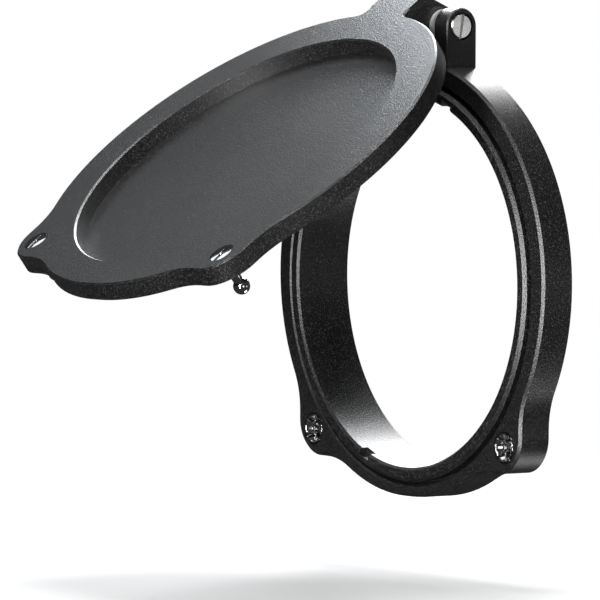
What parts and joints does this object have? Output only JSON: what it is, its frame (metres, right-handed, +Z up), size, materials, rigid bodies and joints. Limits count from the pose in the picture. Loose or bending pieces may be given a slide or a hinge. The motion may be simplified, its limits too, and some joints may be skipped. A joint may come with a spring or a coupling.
{
  "type": "flip-up objective cover",
  "caption": "Black metal flip-up cover for a scope or small telescope: threaded mount ring, ring body with snap sockets, and a hinged sunk-face lid with ball studs.",
  "frame": {"origin": "on the optical axis, in the seat plane where the rear face of the ring body meets the tube", "axes": "+Y is the optical axis pointing back into the tube, so the front and the lid are towards -Y; +Z is up, with the hinge at the top"},
  "size_m": [0.068, 0.0666, 0.0759],
  "materials": {
    "black_anodised": "fine bead-blasted matte black anodising",
    "chrome": "bright",
    "steel": "turned and lightly polished",
    "bronze": "sintered",
    "black_rubber": "matte",
    "grey_plastic": "low-friction plastic"
  },
  "bodies": {
    "mount": {"mount_ring": "black_anodised", "slip_washer": "grey_plastic"},
    "ring": {"ring_body": "black_anodised", "tube_seal": "black_rubber", "hinge_screw": "steel", "hinge_nut": "steel", "disc_spring_right": "steel", "disc_spring_left": "steel", "snap_socket_right": "chrome", "snap_socket_left": "chrome", "socket_spring_right": "steel", "socket_spring_left": "steel"},
    "lid": {"lid_plate": "black_anodised", "lid_gasket": "black_rubber", "ball_stud_right": "chrome", "ball_stud_left": "chrome", "knuckle_bush_right": "bronze", "knuckle_bush_left": "bronze", "thrust_washer_right": "grey_plastic", "thrust_washer_left": "grey_plastic"}
  },
  "joints": [
    {"name": "clocking", "type": "hinge", "parent": "mount", "child": "ring", "pos_m": [0, 0, 0], "axis": [0, 1, 0], "continuous": true},
    {"name": "lid_hinge", "type": "hinge", "parent": "ring", "child": "lid", "pos_m": [0, -0.00275, 0.0386], "axis": [-1, 0, 0], "range_deg": [-53.5, 171.5]}
  ]
}
